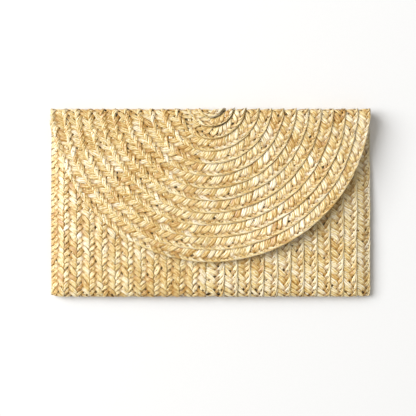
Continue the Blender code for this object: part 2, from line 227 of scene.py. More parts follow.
BOXES = [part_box(f"body_braid_{k:02d}") for k in range(1, BODY_BRAIDS + 1)]
BETWEEN = [(a[1].x + b[0].x) / 2 for a, b in zip(BOXES, BOXES[1:])]
EDGES = [BOXES[0][0].x, *BETWEEN, BOXES[-1][1].x]  # between the body braids, and its sides
HALF = EDGES[-1]
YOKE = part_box("back_yoke")
BACK_Z = (YOKE[0].z + YOKE[1].z) / 2
FRONT_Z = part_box("body_braid_13")[1].z - BRAID / 2
FLAP_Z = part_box("flap_ring_02")[1].z - BRAID / 2
FOLD_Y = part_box("fold_band_left")[1].y - BRAID / 2
MOUTH_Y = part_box("body_braid_13")[1].y
BACK_TOP = YOKE[0].y
CROWN = FRONT_Z - BACK_Z - SEAM_HEIGHT
BEND_Y = CAD_BOX[0][1] + BRAID / 2 + BEND_LENGTH
FOLD_MIDDLE = (BACK_Z + FLAP_Z) / 2
SPINE = FLAP_Z - FOLD_RADIUS - FOLD_MIDDLE  # half the straight part of the fold
FLAT_START = SPINE + FOLD_RADIUS * math.pi / 2  # along the flap from the fold's middle to where it lies flat
FLAP_CENTRE = FOLD_Y - FOLD_RADIUS + FLAT_START
FLAP_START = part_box("flap_ring_13")[1].y
FLAP_RADIUS = FLAP_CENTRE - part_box("flap_ring_13")[0].y
RING_PITCH = FLAP_RADIUS / RINGS
SNAP_Y = (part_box("snap_cup")[0].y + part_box("snap_cup")[1].y) / 2


def crown_at(x):
    return CROWN * np.sqrt(np.maximum(0, 1 - np.abs(x / HALF) ** CROWN_POWER))


def lift_at(x):
    return SIDE_LIFT * np.abs(x / HALF) ** LIFT_POWER


def back_height(lift, y):
    """Height of the back's middle surface, whose sides are lifted towards the bottom edge."""
    return BACK_Z + lift * np.clip((LIFT_TOP - y) / LIFT_RUN, 0, 1)


def section_point(v, lift, crown, back_in=0.0, front_in=0.0):
    """(y, z) of the pouch's section at v: 0 to 1 down the back, 1 to 2 round the bend, 2 to 3 up the front.

    A layer inside the braids lies back_in and front_in from their middles.
    """
    turn = np.pi * (np.clip(v, 1, 2) - 1.5)
    power = 2 / np.where(turn < 0, BACK_BEND_POWER, FRONT_BEND_POWER)
    back_y = BEND_Y + (1 - v) * (SEAM_Y - BEND_Y)
    front_y = BEND_Y + (v - 2) * (MOUTH_Y - BEND_Y)
    bend_y = BEND_Y - (BEND_LENGTH - back_in) * np.maximum(np.cos(turn), 0) ** power
    y = np.where(v < 1, back_y, np.where(v > 2, front_y, bend_y))
    low = back_height(lift, y)
    high = low + SEAM_HEIGHT + crown - front_in
    low = low + back_in
    rise = np.sign(turn) * np.abs(np.sin(turn)) ** power * (high - low) / 2
    return y, (low + high) / 2 + rise


SEAM_OVERLAP = 6 * MM  # how far the body braids reach under the ring braids' ends on the back
SEAM_Y = BACK_TOP + SEAM_OVERLAP
SECTION_SAMPLES = 3000


def section_table(x):
    """Length along the section against v, at one place across the purse."""
    v = np.linspace(0, 3, SECTION_SAMPLES)
    y, z = section_point(v, lift_at(x), crown_at(x))
    steps = np.hypot(np.diff(y), np.diff(z))
    return np.concatenate([[0], np.cumsum(steps)]), v


def on_section(v, lift, crown):
    """(y, z) and the outward normal's (y, z)."""
    small = 0.004
    y, z = section_point(v, lift, crown)
    y0, z0 = section_point(np.maximum(v - small, 0), lift, crown)
    y1, z1 = section_point(np.minimum(v + small, 3), lift, crown)
    size = np.hypot(y1 - y0, z1 - z0)
    return y, z, -(z1 - z0) / size, (y1 - y0) / size


def flap_droop(x, y):
    side = SIDE_DROOP * np.abs(x / HALF) ** 4 * np.clip((FLAP_START - y) / DROOP_RUN, 0, 1)
    tip = TIP_DROOP * smoothstep(TIP_DROOP_START - y, 0, TIP_DROOP_RUN)
    return side + tip


def rim_lift(x, v):
    """How far the flap's edge curls up, on the right of its tip."""
    angle = np.degrees(np.arctan2(np.maximum(v, 0), x))
    window = smoothstep(angle, *RIM_WINDOW[:2]) * (1 - smoothstep(angle, *RIM_WINDOW[2:]))
    return RIM_LIFT * window * smoothstep(np.hypot(x, v) / FLAP_RADIUS, RIM_FROM, 1.0)


def near_snap(x, y):
    return 1 - smoothstep(np.hypot(x, y - SNAP_Y), *SNAP_PRESS)


def on_flap(x, v, height):
    """Points of the sheet that runs from the flap over the fold to the back, v along it from the fold."""
    away = np.abs(v)
    turn = np.clip((away - SPINE) / FOLD_RADIUS, 0, np.pi / 2)
    flat = np.maximum(away - FLAT_START, 0)
    straight = np.minimum(away, SPINE)
    y = FOLD_Y - FOLD_RADIUS * (1 - np.cos(turn)) - flat + height * np.cos(turn)
    rise = straight + FOLD_RADIUS * np.sin(turn) + height * np.sin(turn)
    z = FOLD_MIDDLE + np.sign(v) * rise
    z = np.where(v > 0, z - flap_droop(x, y) + rim_lift(x, v), z)
    return np.stack([x, y, z], axis=-1)


# ---- meshes


def add_object(name, data):
    made = bpy.data.objects.new(name, data)
    bpy.context.scene.collection.objects.link(made)
    return made


def signed_volume(points, quads):
    a, b, c, d = (points[quads[:, k]] for k in range(4))
    return float(np.sum(np.cross(a, b) * c) + np.sum(np.cross(a, c) * d))


def mesh_object(name, material, points, *faces):
    """A closed mesh. faces are arrays of vertex numbers, each with one count of corners, quads first."""
    if signed_volume(points, faces[0]) < 0:
        faces = [group[:, ::-1] for group in faces]
    corners = np.concatenate([group.ravel() for group in faces]).astype(np.int32)
    sizes = np.concatenate([np.full(len(group), group.shape[1]) for group in faces])
    starts = (np.cumsum(sizes) - sizes).astype(np.int32)
    mesh = bpy.data.meshes.new(name)
    mesh.vertices.add(len(points))
    mesh.vertices.foreach_set("co", points.astype(np.float32).ravel())
    mesh.loops.add(len(corners))
    mesh.loops.foreach_set("vertex_index", corners)
    mesh.polygons.add(len(starts))
    mesh.polygons.foreach_set("loop_start", starts)
    mesh.update(calc_edges=True)
    mesh.shade_smooth()
    mesh.materials.append(material)
    return add_object(name, mesh)


def grid_quads(number, wrap=((0, 0), (0, 0))):
    """The quads of a grid of vertex numbers. A 1 in wrap closes it along its columns or its rows."""
    n = np.pad(number, wrap, mode="wrap")
    return np.stack([n[:-1, :-1], n[:-1, 1:], n[1:, 1:], n[1:, :-1]], axis=-1).reshape(-1, 4)


def give(piece, name, values):
    """Stores one number or one vector for each vertex, for the materials to read."""
    kind, field = ("FLOAT", "value") if values.ndim == 1 else ("FLOAT_VECTOR", "vector")
    attribute = piece.data.attributes.new(name, kind, "POINT")
    attribute.data.foreach_set(field, values.astype(np.float32).ravel())


class Tubes:
    """Collects tubes, such as straws and stitches, that become one piece."""

    def __init__(self):
        self.points, self.quads, self.caps = [], [], []
        self.values = {}
        self.count = 0

    def add(self, rings, **values):
        """rings has a row of points for each station along the tube."""
        number = self.count + np.arange(rings[..., 0].size).reshape(rings.shape[:2])
        self.quads.append(grid_quads(number, ((0, 0), (0, 1))))
        self.caps.append(np.stack([number[0, ::-1], number[-1]]))
        self.points.append(rings.reshape(-1, 3))
        for key, value in values.items():
            self.values.setdefault(key, []).append(value)
        self.count += number.size

    def take_in(self, other):
        self.points += other.points
        self.quads += [corners + self.count for corners in other.quads]
        self.caps += [corners + self.count for corners in other.caps]
        for key, values in other.values.items():
            self.values[key] += values
        self.count += other.count

    def piece(self, name, material):
        points, quads, caps = map(np.concatenate, (self.points, self.quads, self.caps))
        made = mesh_object(name, material, points, quads, caps)
        for key, values in self.values.items():
            give(made, key, np.concatenate(values))
        return made


# ---- plaits

AROUND = 2 * np.pi * np.arange(SECTION_POINTS) / SECTION_POINTS
SECTION_UP = np.sign(np.sin(AROUND)) * np.abs(np.sin(AROUND)) ** STRAW_FLATNESS
SECTION_UP = SECTION_UP * (1 + STRAW_CREASE * np.cos(6 * AROUND))


def straws(rng, stations, width, style, place, cuts, opening):
    """The straws of one plait as Tubes, one for each stretch between the cuts.

    stations are lengths along the plait, and place(along, across, height) gives points on the purse.
    cuts are numbers of stations. opening, from 0 to 1 at each station, says where the straws stand apart.
    """
    point, relief = style["point"], style["relief"]
    slope = math.atan2(2 * width, PERIOD)
    drift = wander(rng, *DRIFT_WAVES)
    stray = wander(rng, *STRAY_WAVES)
    patch = wander(rng, *PATCH_WAVES)
    loose = opening[:, None]
    stretches = [Tubes() for _ in cuts[1:]]
    for strand in range(STRANDS):
        own_phase = strand / STRANDS + PHASE_SPREAD * rng.standard_normal()
        jog = wander(rng, *JOG_WAVES)
        phase = (stations + DRIFT * drift(stations) + JOG * jog(stations)) / PERIOD + own_phase
        # In a period a straw has two stretches, one over the others and one under them
        number = np.floor(2 * phase + 0.25 * point).astype(int)
        middle = np.arange(FLOATS) / 2 + (0.125 if point > 0 else 0.375)

        wide = STRAW_WIDTH * (1 + WIDTH_SPREAD * rng.standard_normal(FLOATS))
        thick = STRAW_HALF * (1 + THICKNESS_SPREAD * rng.standard_normal(FLOATS))
        roll = ROLL_SPREAD * rng.standard_normal(FLOATS)
        lift = LIFT_SPREAD * rng.standard_normal(FLOATS)
        edge = EDGE_SPREAD * rng.uniform(-1, 0, FLOATS)

        def at(table):
            return np.interp(phase, middle, table)[:, None]

        tone = rng.standard_normal(FLOATS)
        for k in range(1, FLOATS):
            tone[k] = TONE_KEPT * tone[k - 1] + TONE_ADDED * tone[k]
        tone = TONE_MIDDLE + TONE_SPREAD * tone + TONE_NOISE * rng.standard_normal(FLOATS)
        tone = np.where(rng.random(FLOATS) < WHITE_SHARE, tone + WHITE_TONE, tone)

        middle_turn = 2 * np.pi * phase[:, None] - np.pi / 2
        crossing = np.exp(-((np.sin(middle_turn) / CROSSING) ** 2))
        border = np.exp(-((np.cos(middle_turn) / CROSSING) ** 2))
        narrow = NARROWED * crossing + (style["gap"] + LOOSE_GAP * loose) * border
        half_width = at(wide) / 2 * (FULL_WIDTH - relief * narrow) * (1 - LOOSE_NARROWING * loose)
        side = np.cos(AROUND) * half_width
        up = SECTION_UP * at(thick) * (FULL_THICKNESS - THINNED * crossing)
        along = stations[:, None] - side * math.sin(slope)
        turn = middle_turn + np.pi * side * math.cos(slope) / width

        reach = FOLD_SHARPNESS * np.sin(turn)
        free = smoothstep(reach, *SCALLOP_REACH)
        half = width / 2 + at(edge) - style["scallop"] * side * free
        across = half * np.arcsin(reach) / math.asin(FOLD_SHARPNESS)
        heading = np.cos(turn) / np.sqrt(1 - reach**2)
        climb = point * np.sqrt(np.maximum(0, 1 - heading**2))
        folded = np.abs(np.sin(middle_turn)) ** 3
        level_turn = middle_turn + (turn - middle_turn) * folded
        level = np.tanh(SQUARENESS * np.sin(2 * level_turn)) / math.tanh(SQUARENESS)
        height = -point * relief * LEVEL * (1 + LOOSE_RISE * loose) * level
        height = height + relief * (at(roll) * side + at(lift))
        rim = smoothstep(across, width / 2 - SELVAGE, width / 2) * style["band"]
        along = along - point * style["run"] * rim
        middle_out = style["middle"] + STRAY * stray(stations)[:, None]
        across = across + middle_out * (1 - (2 * across / width) ** 2)
        across = across - climb * up
        height = height + heading * up + RIM_RISE * rim

        points = place(along, across, height)
        tones = tone[number][:, None] + style["tone"] + PATCH_TONE * patch(stations)[:, None] + 0 * AROUND
        grain = np.stack(
            [
                stations[:, None] / math.cos(slope) + 0 * AROUND,
                np.cos(AROUND) + 0 * along,
                rng.uniform(0, 100) + number[:, None] + 0 * AROUND,
            ],
            axis=-1,
        )
        for tubes, low, high in zip(stretches, cuts, cuts[1:]):
            tubes.add(
                points[low : high + 1],
                tone=tones[low : high + 1].ravel(),
                grain=grain[low : high + 1].reshape(-1, 3),
                crossing=(crossing + 0 * AROUND)[low : high + 1].ravel(),
                rim=rim[low : high + 1].ravel(),
            )
    return stretches


def shingled(height, across, width, front, lie, flat, steepness=1, tucked=True):
    """How far the straws of a plait stand out. Its covered edge lies under its neighbour's free edge.

    lie is the plait's tilt and dip on the purse's front, which differ from those on its back.
    """
    tilt, dip = lie
    tilt = (BACK_TILT + (tilt - BACK_TILT) * front) * flat * steepness
    dip = (BACK_DIP + (dip - BACK_DIP) * front) * flat * tucked
    relief = BACK_RELIEF + (1 - BACK_RELIEF) * front
    covered = smoothstep(-across, width / 2 - COVER_FROM, width / 2 - COVER_TO)
    return height * relief + tilt * 2 * across / width - dip * covered


def body_place(index, rng):
    """The function that lays body braid number index on the purse, the plait's length and width, and
    the length at which it bends round the bottom edge."""
    left, right = EDGES[index], EDGES[index + 1]
    low = left - (TUCK if index else FIRST_MARGIN)
    high = right + (LAST_MARGIN if index == BODY_BRAIDS - 1 else OVERHANG)
    centre, width = (low + high) / 2, high - low
    lengths, table = section_table((left + right) / 2)
    sway = wander(rng, *BODY_SWAY_WAVES)
    sides = np.array([left, right])
    lifts, crowns = lift_at(sides), crown_at(sides)
    length = lengths[-1]
    front_starts, bottom = np.interp([FRONT_STARTS, BEND_OPENS], table, lengths)
    lie = (LEFT_TILT, LEFT_DIP) if index < LEFT_BRAIDS else (FRONT_TILT, FRONT_DIP)

    def place(along, across, height):
        front = smoothstep(along, front_starts - FRONT_RUN, front_starts + FRONT_RUN)
        x = centre + across + BODY_SWAY * sway(along) * (abs(centre) < HALF - width)
        if index == 0:
            x = x - CORNER_FLARE * smoothstep(along, length - FLARE_FROM, length - FLARE_TO)
        share = (x - left) / (right - left)
        lift = lifts[0] + (lifts[1] - lifts[0]) * share
        crown = np.maximum(0, crowns[0] + (crowns[1] - crowns[0]) * share)
        y, z, out_y, out_z = on_section(np.interp(along, lengths, table), lift, crown)
        in_binding = smoothstep(along, length - MOUTH_FROM, length - MOUTH_TO)
        flat = 1 - PRESSED * np.maximum(near_snap(x, y) * front, in_binding)
        at_side = smoothstep(np.abs(x), HALF - PINCH_FROM, HALF - PINCH_TO)
        pinch = (PINCH + FRONT_PINCH * front) * at_side
        sunk = SUNK * (1 - smoothstep(along, SEAM_OVERLAP - SUNK, SEAM_OVERLAP + SUNK_RUN))
        out = shingled(height, across, width, front, lie, flat) - pinch - sunk
        return np.stack([x, y + out_y * out, z + out_z * out], axis=-1)

    return place, length, width, bottom


def roughness_of_flap(angle):
    """0 on the flap's right, where its rings' free edges are smooth, and 1 on its left."""
    return smoothstep(np.degrees(angle), ROUGH_FROM, ROUGH_TO)


def ring_style(ring, stations):
    """The style of a ring's plait, whose free edge changes on its way round."""
    angle = (stations - LEG) / (sum(ring_radii(ring)) / 2)
    share = roughness_of_flap(angle)[:, None]
    blended = {key: value + (ROUGH[key] - value) * share for key, value in RINGWISE.items()}
    return dict(blended, point=RINGWISE["point"])


def ring_radii(ring):
    """Inner and outer radius of a ring of the flap, its covered edge included."""
    inner = (ring - 1) * RING_PITCH - TUCK + COIL_EXCESS * (ring == 2) if ring > 1 else COIL_START
    outer = ring * RING_PITCH + OVERHANG + COIL_EXCESS * (ring == 1)
    drawn_in = 0.5 * MM if ring == RINGS or ring <= COILED else 0
    return inner, outer - drawn_in


LEG = FLAT_START + (FOLD_Y - FOLD_RADIUS - BACK_TOP)  # of a ring from the fold's middle down the back


def ring_place(ring, rng):
    """The function that lays a ring on the purse, up the back, round the flap's half circle and down the
    back, and the plait's length and width."""
    inner, outer = ring_radii(ring)
    centre, width = (inner + outer) / 2, outer - inner
    sway = wander(rng, *RING_SWAY_WAVES)
    steepness = COILED_TILT if ring <= COILED else 1

    def place(along, across, height):
        angle = np.clip((along - LEG) / centre, 0, math.pi)
        before = np.minimum(along - LEG, 0)
        beyond = np.maximum(along - LEG - math.pi * centre, 0)
        radius = centre + across + RING_SWAY * sway(along) * (1 < ring < RINGS)
        if 1 < ring <= COILED:
            drawn = smoothstep(-across, width / 2 - COIL_GAP_RUN, width / 2)
            drawn = drawn * smoothstep(along - LEG, *RING_FRONT)
            closing = smoothstep(np.degrees(angle), COIL_GAP_FROM, COIL_GAP_TO)
            radius = radius + COIL_GAP * drawn * (1 - closing)
        x = radius * np.cos(angle)
        v = radius * np.sin(angle) + before - beyond
        front = smoothstep(v, *RING_FRONT)
        flat = 1 - PRESSED * near_snap(x, FLAP_CENTRE - v)
        flat = flat * (1 - ROUGH_FLATNESS * roughness_of_flap(angle))
        lie = (RING_TILT, FRONT_DIP)
        out = shingled(height, across, width, front, lie, flat, steepness, ring > 1)
        return on_flap(x, v, out)

    return place, 2 * LEG + math.pi * centre, width


STITCH = 1.7 * MM
STITCH_GAP = PITCH
STITCH_LEAN = 0.9 * MM
STITCH_HEIGHT = 1.12 * MM  # of its top over the middle of the plait
STITCH_DIP = 0.9 * MM
THREAD = 0.27 * MM
STITCH_SHARES = np.linspace(0, 1, 7)
THREAD_AROUND = 2 * np.pi * np.arange(6) / 6


def add_stitches(tubes, place, starts, across, height=STITCH_HEIGHT):
    """A row of running stitches along a plait, each a short loop of thread that dips in at both ends."""
    for start in starts:
        hump = np.sin(np.pi * STITCH_SHARES) ** 0.5
        along = start + STITCH * STITCH_SHARES[:, None] + 0 * THREAD_AROUND
        rise = (height - STITCH_DIP * (1 - hump))[:, None] + THREAD * np.sin(THREAD_AROUND)
        lean = STITCH_LEAN * (STITCH_SHARES[:, None] - 0.5)
        tubes.add(place(along, across + lean + THREAD * np.cos(THREAD_AROUND), rise))


# ---- materials


class Graph:
    """A small helper that adds nodes to a material and links them."""

    def __init__(self, name):
        self.material = bpy.data.materials.new(name)
        self.material.use_nodes = True
        self.tree = self.material.node_tree
        self.shader = self.tree.nodes["Principled BSDF"]

    def node(self, kind, inputs=(), **settings):
        made = self.tree.nodes.new(kind)
        for key, value in settings.items():
            setattr(made, key, value)
        for key, value in dict(inputs).items():
            self.put(made.inputs[key], value)
        return made

    def put(self, socket, value):
        if isinstance(value, bpy.types.NodeSocket):
            self.tree.links.new(value, socket)
        else:
            socket.default_value = value

    def math(self, operation, a, b=0.0):
        return self.node("ShaderNodeMath", {0: a, 1: b}, operation=operation).outputs[0]

    def times(self, a, b):
        return self.math("MULTIPLY", a, b)

    def mix(self, share, a, b):
        made = self.node("ShaderNodeMix", data_type="RGBA")
        self.put(made.inputs["Factor"], share)
        self.put(made.inputs["A"], a)
        self.put(made.inputs["B"], b)
        return made.outputs["Result"]

    def between(self, value, low, high, to_low=0.0, to_high=1.0):
        inputs = {"Value": value, "From Min": low, "From Max": high, "To Min": to_low, "To Max": to_high}
        return self.node("ShaderNodeMapRange", inputs).outputs["Result"]

    def noise(self, vector, scale, detail=2.0):
        inputs = {"Vector": vector, "Scale": scale, "Detail": detail}
        return self.node("ShaderNodeTexNoise", inputs).outputs["Fac"]

    def stretched_noise(self, vector, factors, detail=2.0):
        scaled = self.node("ShaderNodeVectorMath", {0: vector, 1: factors}, operation="MULTIPLY")
        return self.noise(scaled.outputs[0], 1.0, detail)

    def swing(self, noise, low, high):
        """A noise, whose values lie mostly between 0.3 and 0.7, as a number from low to high."""
        return self.between(noise, 0.3, 0.7, low, high)

    def attribute(self, name, output="Fac"):
        return self.node("ShaderNodeAttribute", attribute_name=name).outputs[output]

    def position(self):
        return self.node("ShaderNodeNewGeometry").outputs["Position"]

    def ramp(self, value, stops):
        made = self.node("ShaderNodeValToRGB", {"Fac": value})
        elements = made.color_ramp.elements
        while len(elements) < len(stops):
            elements.new(0.5)
        for element, (place, colour) in zip(elements, stops):
            element.position = place
            element.color = colour
        return made.outputs["Color"]

    def bump(self, height, distance, strength=1.0):
        inputs = {"Height": height, "Distance": distance, "Strength": strength}
        return self.node("ShaderNodeBump", inputs).outputs["Normal"]

    def finish(self, colour, roughness, normal):
        self.put(self.shader.inputs["Base Color"], colour)
        self.put(self.shader.inputs["Roughness"], roughness)
        self.put(self.shader.inputs["Normal"], normal)
        return self.material


STRAW_PLACES = (0.0, 0.28, 0.5, 0.72, 1.0)  # of STRAW_TONES among the tones
# The rib white is a painted highlight; the groove brown is partly the straw's darker grain and partly
# painted shade in its grooves.
GRAIN_AND_GROOVE_SHADE_BROWN, RIB_HIGHLIGHT_WHITE = (168, 114, 30), (252, 240, 212)
# The crossing brown is painted shade where straws dive under others; the edge brown is partly the straws'
# own darker edges and partly painted shade in the grooves between them.
CROSSING_SHADE_BROWN, EDGE_TONE_AND_SHADE_BROWN = (146, 96, 16), (146, 94, 14)
RIB_COUNT, RIB_WANDER = 8.0, 7.0  # radians of the ribs' wave from a straw's middle to its side
RIM_TONE = 0.12  # by which the selvage is lighter


def straw_material(name):
    """Glossy natural straw: a tone for each straw, fine lengthwise grain, painted highlights on its ribs,
    brown edges and rib lines that are partly painted shade, and painted shade where it dives under others.
    """
    g = Graph(name)
    grain = g.attribute("grain", "Vector")
    rim, crossing = g.attribute("rim"), g.attribute("crossing")
    beside = g.node("ShaderNodeSeparateXYZ", {"Vector": grain}).outputs["Y"]
    streaks = g.stretched_noise(grain, (90, 5.5, 7.3), 3.0)
    blotches = g.stretched_noise(grain, (190, 0.8, 3.1))
    flecks = g.stretched_noise(grain, (520, 2.6, 5.3))
    varied = g.attribute("tone")
    for noise, swing in ((streaks, 0.16), (blotches, 0.12), (flecks, 0.42)):
        varied = g.math("ADD", varied, g.swing(noise, -swing, swing))
    varied = g.math("ADD", varied, g.times(rim, RIM_TONE))
    colour = g.ramp(varied, [(p, linear(c)) for p, c in zip(STRAW_PLACES, STRAW_TONES)])

    # Lengthwise ribs: dark lines that are partly the straw's grain and partly painted shade in its grooves,
    # and light lines that are painted highlights.
    bent = g.math("ADD", g.times(beside, RIB_COUNT), g.times(blotches, RIB_WANDER))
    ribs = g.math("SINE", bent)
    colour = g.mix(g.between(ribs, 0.35, 1.0, 0.0, 0.70), colour, linear(GRAIN_AND_GROOVE_SHADE_BROWN))
    colour = g.mix(g.between(ribs, -0.3, -1.0, 0.0, 0.25), colour, linear(RIB_HIGHLIGHT_WHITE))
    # Painted shade: darker brown where a straw dives under the straws that cross it.
    painted_crossing_shade = g.between(crossing, 0.25, 1.0, 0.0, 0.70)
    colour = g.mix(painted_crossing_shade, colour, linear(CROSSING_SHADE_BROWN))
    # The brown along each straw's sides is partly its own darker edge and partly painted shade in the
    # grooves between straws; it is weaker on the selvage.
    sides = g.between(g.math("ABSOLUTE", beside), 0.72, 1.0)
    edge = g.times(sides, g.between(rim, 0.0, 1.0, 0.65, 0.30))
    colour = g.mix(edge, colour, linear(EDGE_TONE_AND_SHADE_BROWN))

    open_share = g.math("SUBTRACT", 1.0, g.math("MAXIMUM", sides, painted_crossing_shade))
    g.put(g.shader.inputs["Specular IOR Level"], g.times(open_share, 0.5))
    g.put(g.shader.inputs["Coat Weight"], g.times(open_share, 0.8))
    g.shader.inputs["Coat Roughness"].default_value = 0.34
    return g.finish(colour, g.swing(streaks, 0.30, 0.52), g.bump(streaks, 0.12 * MM, 0.8))


def plain_thread(name, light, dark):
    g = Graph(name)
    fibres = g.noise(g.position(), 2500)
    colour = g.mix(fibres, linear(dark), linear(light))
    return g.finish(colour, 0.55, g.bump(fibres, 0.05 * MM))


def woven_material(name, light, dark, spacing, twill):
    """Woven cloth with one thread to each spacing, and diagonal ribs if it is twill."""
    g = Graph(name)
    weave = g.attribute("weave", "Vector")
    parts = g.node("ShaderNodeSeparateXYZ", {"Vector": weave}).outputs
    pace = 2 * math.pi / spacing
    uneven = g.swing(g.noise(weave, 900), -0.5, 0.5)
    a = g.math("ADD", g.times(parts["X"], pace), uneven)
    b = g.times(parts["Y"], pace)
    if twill:
        picks = g.times(g.math("SINE", g.times(b, 2.0)), 0.35)
        threads = g.math("ADD", g.math("SINE", g.math("ADD", a, b)), picks)
    else:
        threads = g.times(g.math("SINE", a), g.math("SINE", b))
    slubs = g.stretched_noise(weave, (1500, 60, 1))
    shade = g.math("ADD", g.between(threads, -1.0, 1.0, 0.0, 0.75), g.swing(slubs, -0.12, 0.25))
    colour = g.mix(shade, linear(dark), linear(light))
    g.shader.inputs["Sheen Weight"].default_value = 0.25
    return g.finish(colour, g.swing(slubs, 0.82, 0.95), g.bump(threads, 0.10 * MM, 0.8))


def metal_material(name, light, dark, metallic, roughness):
    g = Graph(name)
    tarnish = g.noise(g.position(), 320, 4.0)
    grains = g.noise(g.position(), 4000)
    colour = g.mix(g.between(tarnish, 0.35, 0.65), linear(dark), linear(light))
    g.shader.inputs["Metallic"].default_value = metallic
    worn = g.swing(tarnish, roughness + 0.1, roughness - 0.06)
    rough = g.math("ADD", worn, g.times(grains, 0.08))
    return g.finish(colour, rough, g.bump(grains, 0.02 * MM, 0.5))


# ---- pieces

OPENING_RUN = 8 * MM  # along the plaits, at a bend
OPENING_PAST_FOLD = 6 * MM
BODY_SEAM_START, BODY_SEAM_END, RING_SEAM_START = 8 * MM, 6 * MM, 3 * MM


def build_body(material, stitching):
    for index in range(BODY_BRAIDS):
        rng = np.random.default_rng(BODY_SEED + index)
        place, length, width, bottom = body_place(index, rng)
        style = SCALLOPED if index < LEFT_BRAIDS else SMOOTH
        stations = np.linspace(0, length, round(length / STEP))
        opening = np.exp(-(((stations - bottom) / OPENING_RUN) ** 2))
        (tubes,) = straws(rng, stations, width, style, place, [0, len(stations) - 1], opening)
        piece = tubes.piece(f"plait_{index + 1:02d}", material)
        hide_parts(f"body_braid_{index + 1:02d}")
        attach(piece, "pouch")
        starts = np.arange(BODY_SEAM_START, length - BODY_SEAM_END, STITCH_GAP)
        add_stitches(stitching, place, starts, style["holes"])


def build_flap(material, upper_stitching, lower_stitching):
    for ring in range(1, RINGS + 1):
        rng = np.random.default_rng(RING_SEED + ring)
        place, length, width = ring_place(ring, rng)
        leg = np.linspace(0, LEG, round(LEG / STEP), endpoint=False)
        bow = np.linspace(LEG, length - LEG, round((length - 2 * LEG) / STEP), endpoint=False)
        stations = np.concatenate([leg, bow, length - LEG + leg, [length]])
        cuts = [0, len(leg), len(leg) + len(bow), len(stations) - 1]
        beyond_fold = np.minimum(stations - LEG, length - LEG - stations) * (ring > 1)
        opening = np.exp(-(((beyond_fold - OPENING_PAST_FOLD) / OPENING_RUN) ** 2))
        if ring <= COILED:
            opening = np.maximum(opening, COIL_LOOSENESS)
        first, arc, last = straws(rng, stations, width, ring_style(ring, stations), place, cuts, opening)
        first.take_in(last)
        upper = arc.piece(f"ring_{ring:02d}", material)
        lower = first.piece(f"ring_ends_{ring:02d}", material)
        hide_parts("fold_centre_coil" if ring == 1 else f"flap_ring_{ring:02d}")
        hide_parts("fold_band_left", "fold_band_right", "back_yoke")
        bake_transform(upper)
        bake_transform(lower)

        seam = RINGWISE["holes"]
        starts = np.arange(RING_SEAM_START, LEG - STITCH, STITCH_GAP)
        add_stitches(lower_stitching, place, starts, seam)
        add_stitches(lower_stitching, place, length - STITCH - starts, seam)
        add_stitches(upper_stitching, place, np.arange(LEG, length - LEG - STITCH, STITCH_GAP), seam)


SEWING_BROWNS = ((120, 86, 40), (66, 44, 16))


def build_straw():
    body_straw = straw_material("straw_of_body")
    flap_straw = straw_material("straw_of_flap")
    thread = plain_thread("sewing_thread", *SEWING_BROWNS)
    body_thread, upper_thread, lower_thread = Tubes(), Tubes(), Tubes()
    build_body(body_straw, body_thread)
    build_flap(flap_straw, upper_thread, lower_thread)
    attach(body_thread.piece("stitches_of_body", thread), "pouch")
    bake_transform(upper_thread.piece("stitches_of_flap", thread))
    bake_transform(lower_thread.piece("stitches_of_fold", thread))


# ---- lining, tapes and snap


def thin_sheet(name, material, across, along, thickness, place):
    """A closed sheet. across and along are flat coordinates, or across has a row for each along."""
    b = np.repeat(along[:, None], np.shape(across)[-1], axis=1)
    a = np.broadcast_to(across, b.shape)
    faces = [place(a, b, side * thickness / 2).reshape(-1, 3) for side in (1, -1)]
    number = np.arange(a.size).reshape(a.shape)
    patch = grid_quads(number)
    rim = np.concatenate([number[0, :-1], number[:-1, -1], number[-1, :0:-1], number[:0:-1, 0]])
    after = np.roll(rim, -1)
    walls = np.stack([after, rim, rim + a.size, after + a.size], axis=-1)
    quads = np.concatenate([patch, patch[:, ::-1] + a.size, walls])
    piece = mesh_object(name, material, np.concatenate(faces), quads)
    weave = np.stack([a.ravel(), b.ravel(), 0 * a.ravel()], axis=-1)
    give(piece, "weave", np.concatenate([weave, weave]))
    return piece


WRINKLE_WAVES, WRINKLE_LENGTHS = 5, (28 * MM, 70 * MM)


def wrinkles(a, b, seed):
    """Soft folds in loosely held cloth, from 0 to 1."""
    rng = np.random.default_rng(seed)
    waves = 0.0
    for _ in range(WRINKLE_WAVES):
        angle, phase = rng.uniform(0, np.pi), rng.uniform(0, 2 * np.pi)
        length = rng.uniform(*WRINKLE_LENGTHS)
        waves = waves + np.sin(2 * np.pi * (a * np.cos(angle) + b * np.sin(angle)) / length + phase)
    return 0.5 + 0.5 * np.tanh(waves / 2)


CLOTH_COLUMNS = 74
BAG_ROWS, FOLD_ROWS, FLAP_ROWS = 96, 18, 70
UNDER_BACK, UNDER_FRONT, UNDER_RINGS = 1.95 * MM, 2.65 * MM, 1.8 * MM  # of the plaits' middles
SEAM_STEP, FOLD_STEP, FLAP_STEP = 1.1 * MM, 0.9 * MM, 0.85 * MM  # where the cloth lies further in
SEAM_ZONE = (56 * MM, 64 * MM, 76 * MM, 79 * MM)  # up the back, in which the bag lies under the facing
BACK_WRINKLES, FRONT_WRINKLES, FLAP_WRINKLES = 0.7 * MM, 0.9 * MM, 0.5 * MM
LAP = 2 * MM
HELD = 12 * MM  # from the bag's seams, over which its wrinkles fade
HEM, HEM_INSET, HEM_DEPTH = 4 * MM, 3 * MM, 2.9 * MM
HEM_STITCH_GAP, HEM_STITCH_HEIGHT = 3.2 * MM, 0.25 * MM


